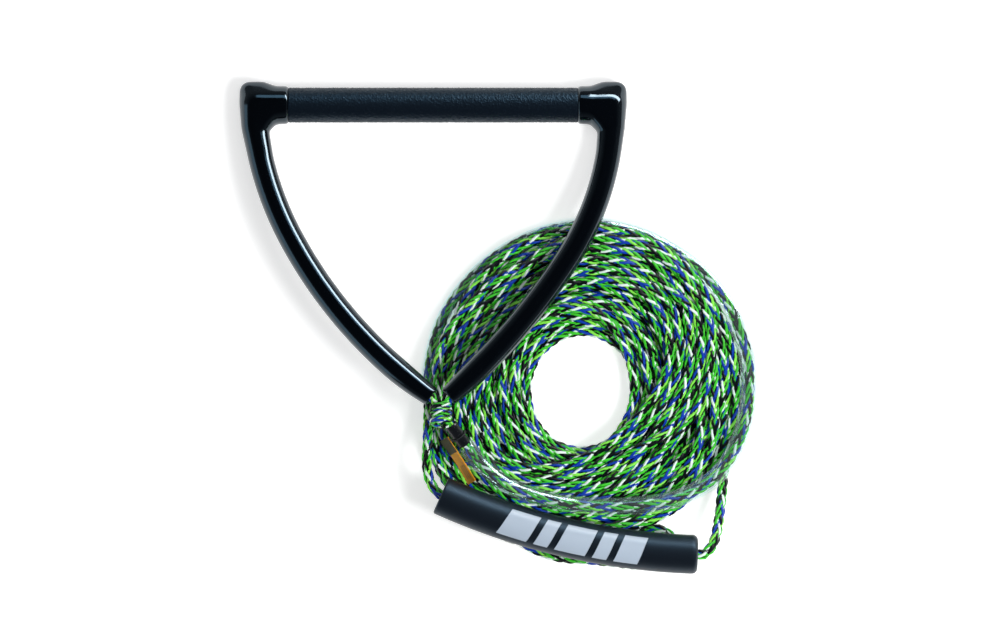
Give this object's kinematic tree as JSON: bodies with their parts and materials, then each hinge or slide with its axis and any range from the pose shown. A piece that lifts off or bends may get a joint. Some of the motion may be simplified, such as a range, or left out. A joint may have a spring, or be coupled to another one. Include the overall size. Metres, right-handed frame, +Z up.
{
  "type": "tow rope handle",
  "caption": "Water ski tow handle: padded grip between two curved arms that meet at a hitch, with coiled braided line, foam line float, clear chafe tube and boat-end eye.",
  "frame": {"origin": "bottom centre of the handle's own box, on the surface that it lies on", "axes": "+X along the grip, +Y from the hitch towards the grip, +Z up"},
  "size_m": [0.4417, 0.4185, 0.0831],
  "materials": {
    "grip": "fine leather-like grain",
    "aluminium_tube": "drawn, satin",
    "bush_plastic": "moulded",
    "gloss_vinyl": "dipped, high gloss",
    "braid": "braided filament, slight sheen",
    "shrink_sleeve": "satin",
    "clear_vinyl": "clear, glossy",
    "float_foam": "closed-cell foam skin, soft sheen",
    "whipping": "waxed twine",
    "tag_film": "printed film",
    "tag_thread": "thin thread"
  },
  "bodies": {
    "line": {"rope_coil": "braid", "lead_line": "braid", "line_sleeve": "shrink_sleeve", "clear_tube": "clear_vinyl", "boat_loop": "braid", "boat_seizing": "whipping"},
    "handle": {"grip_cover": "grip", "core_tube": "aluminium_tube", "left_end_bush": "bush_plastic", "right_end_bush": "bush_plastic", "left_arm": "gloss_vinyl", "right_arm": "gloss_vinyl", "bridle_rope": "braid", "apex_hitch": "braid"},
    "float": {"line_float": "float_foam"},
    "tag": {"line_tag": "tag_film", "tag_string": "tag_thread"}
  },
  "joints": [
    {"name": "handle_swing", "type": "hinge", "parent": "line", "child": "handle", "pos_m": [0.0072, -0.14363, 0.07217], "axis": [1, 0, 0], "range_deg": [0, 110]},
    {"name": "float_slide", "type": "hinge", "parent": "line", "child": "float", "pos_m": [0.23986, 0.30106, 0.044], "axis": [0, 0, 1], "range_deg": [-0.3, 0.4]},
    {"name": "tag_swing", "type": "hinge", "parent": "line", "child": "tag", "pos_m": [0.02215, -0.16208, 0.05406], "axis": [0.5674, -0.7681, -0.2967], "range_deg": [-10, 0]}
  ]
}
